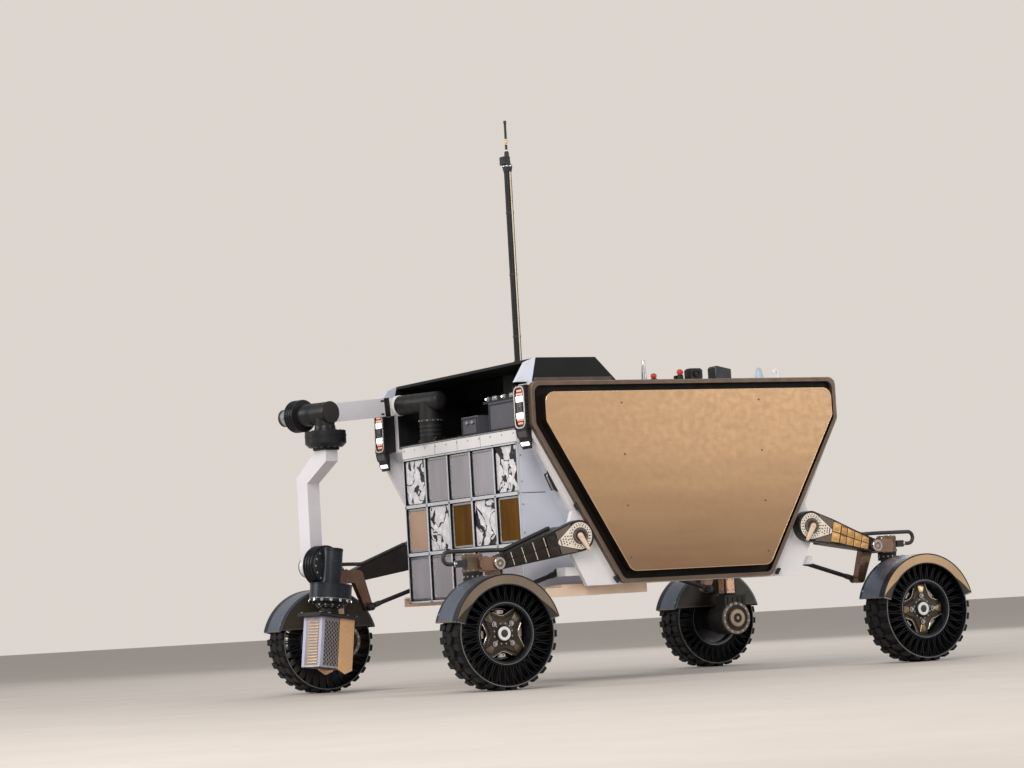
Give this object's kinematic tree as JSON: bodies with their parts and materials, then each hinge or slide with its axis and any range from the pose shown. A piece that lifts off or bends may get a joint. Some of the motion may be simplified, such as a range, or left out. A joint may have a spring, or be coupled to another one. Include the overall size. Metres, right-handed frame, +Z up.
{
  "type": "planetary rover prototype",
  "caption": "Four-wheeled planetary rover prototype with airless wheels, gold side panels, a front locker rack, a mast and an arm with a scoop.",
  "frame": {"origin": "on the ground, under the middle of the overall length and of the wheel track", "axes": "+X forward, +Y to the left, +Z up"},
  "size_m": [3.8388, 2.732, 3.604],
  "materials": {
    "tyre_rubber": "matte",
    "wheel_metal": "satin",
    "gear_dark": "satin",
    "fender_grey": "satin",
    "leg_dark": "satin",
    "copper_metal": "satin",
    "black_metal": "satin",
    "white_paint": "gloss",
    "bronze_metal": "satin",
    "gold_foil": "satin",
    "silver_metal": "satin",
    "grey_paint": "satin",
    "tile_foil": "gloss",
    "gold_paint": "satin",
    "beige_paint": "satin",
    "dark_plastic": "matte",
    "lamp_lens": "gloss",
    "hose_rubber": "matte"
  },
  "bodies": {
    "chassis": {"antenna": "dark_plastic", "arm_base": "black_metal", "arm_bay": "black_metal", "bay_boxes": "grey_paint", "canopy": "black_metal", "canopy_cheeks": "white_paint", "deck": "white_paint", "deck_controls": "silver_metal", "deck_fittings": "silver_metal", "deck_sensors": "dark_plastic", "front_beam": "white_paint", "front_handles": "black_metal", "front_rails": "black_metal", "hose_plugs": "dark_plastic", "hull": "white_paint", "knuckles": "copper_metal", "lamp_faces": "lamp_lens", "lamp_housings": "black_metal", "lower_rods": "black_metal", "mast": "black_metal", "panel_cores": "black_metal", "panel_frames": "bronze_metal", "panel_sheets": "gold_foil", "payload_plate": "silver_metal", "rack_beige_door": "beige_paint", "rack_doors": "grey_paint", "rack_frame": "silver_metal", "rack_gold_doors": "gold_paint", "rack_tiles": "tile_foil", "rear_cover": "white_paint", "side_plates": "white_paint", "steer_hoses": "hose_rubber", "upper_legs": "leg_dark"},
    "steer_fl": {"gearcase_fl": "gear_dark", "fender_fl": "fender_grey"},
    "wheel_fl": {"tyre_fl": "tyre_rubber", "hub_fl": "wheel_metal"},
    "steer_fr": {"gearcase_fr": "gear_dark", "fender_fr": "fender_grey"},
    "wheel_fr": {"tyre_fr": "tyre_rubber", "hub_fr": "wheel_metal"},
    "steer_rl": {"gearcase_rl": "gear_dark", "fender_rl": "fender_grey"},
    "wheel_rl": {"tyre_rl": "tyre_rubber", "hub_rl": "wheel_metal"},
    "steer_rr": {"gearcase_rr": "gear_dark", "fender_rr": "fender_grey"},
    "wheel_rr": {"tyre_rr": "tyre_rubber", "hub_rr": "wheel_metal"},
    "arm_turret": {"shoulder": "white_paint"},
    "arm_upper": {"upper_link": "white_paint", "elbow_barrel": "black_metal"},
    "arm_fore": {"forearm": "black_metal"},
    "arm_drop": {"drop_link": "white_paint"},
    "arm_wrist": {"wrist": "black_metal"},
    "arm_tool": {"tool_mount": "black_metal", "scoop": "silver_metal", "scoop_blades": "gold_foil"}
  },
  "joints": [
    {"name": "steer_fl", "type": "hinge", "parent": "chassis", "child": "steer_fl", "pos_m": [1.42849, 0.96, 0.7], "axis": [0, 0, 1], "range_deg": [-25, 25]},
    {"name": "spin_fl", "type": "hinge", "parent": "steer_fl", "child": "wheel_fl", "pos_m": [1.42849, 1.2375, 0.33], "axis": [0, 1, 0], "continuous": true},
    {"name": "steer_fr", "type": "hinge", "parent": "chassis", "child": "steer_fr", "pos_m": [1.42849, -0.96, 0.7], "axis": [0, 0, 1], "range_deg": [-25, 25]},
    {"name": "spin_fr", "type": "hinge", "parent": "steer_fr", "child": "wheel_fr", "pos_m": [1.42849, -1.2375, 0.33], "axis": [0, 1, 0], "continuous": true},
    {"name": "steer_rl", "type": "hinge", "parent": "chassis", "child": "steer_rl", "pos_m": [-1.57751, 0.96, 0.7], "axis": [0, 0, 1], "range_deg": [-25, 25]},
    {"name": "spin_rl", "type": "hinge", "parent": "steer_rl", "child": "wheel_rl", "pos_m": [-1.57751, 1.2375, 0.33], "axis": [0, 1, 0], "continuous": true},
    {"name": "steer_rr", "type": "hinge", "parent": "chassis", "child": "steer_rr", "pos_m": [-1.57751, -0.96, 0.7], "axis": [0, 0, 1], "range_deg": [-25, 25]},
    {"name": "spin_rr", "type": "hinge", "parent": "steer_rr", "child": "wheel_rr", "pos_m": [-1.57751, -1.2375, 0.33], "axis": [0, 1, 0], "continuous": true},
    {"name": "arm_yaw", "type": "hinge", "parent": "chassis", "child": "arm_turret", "pos_m": [0.94649, -0.422, 1.7], "axis": [0, 0, 1], "range_deg": [0, 60]},
    {"name": "shoulder_pitch", "type": "hinge", "parent": "arm_turret", "child": "arm_upper", "pos_m": [1.04517, -0.76613, 1.833], "axis": [0.2756, -0.9613, 0], "range_deg": [-5, 60]},
    {"name": "elbow_pitch", "type": "hinge", "parent": "arm_upper", "child": "arm_fore", "pos_m": [1.71805, -0.57319, 1.775], "axis": [0.2756, -0.9613, 0], "range_deg": [-15, 75]},
    {"name": "forearm_roll", "type": "hinge", "parent": "arm_fore", "child": "arm_drop", "pos_m": [1.68277, -0.45014, 1.612], "axis": [0, 0, 1], "range_deg": [-170, 170]},
    {"name": "wrist_pitch", "type": "hinge", "parent": "arm_drop", "child": "arm_wrist", "pos_m": [1.68277, -0.45014, 0.812], "axis": [0.2756, -0.9613, 0], "range_deg": [-38, 72]},
    {"name": "tool_roll", "type": "hinge", "parent": "arm_wrist", "child": "arm_tool", "pos_m": [1.71448, -0.44105, 0.57731], "axis": [-0.1338, -0.0384, 0.9903], "range_deg": [-170, 170]}
  ]
}
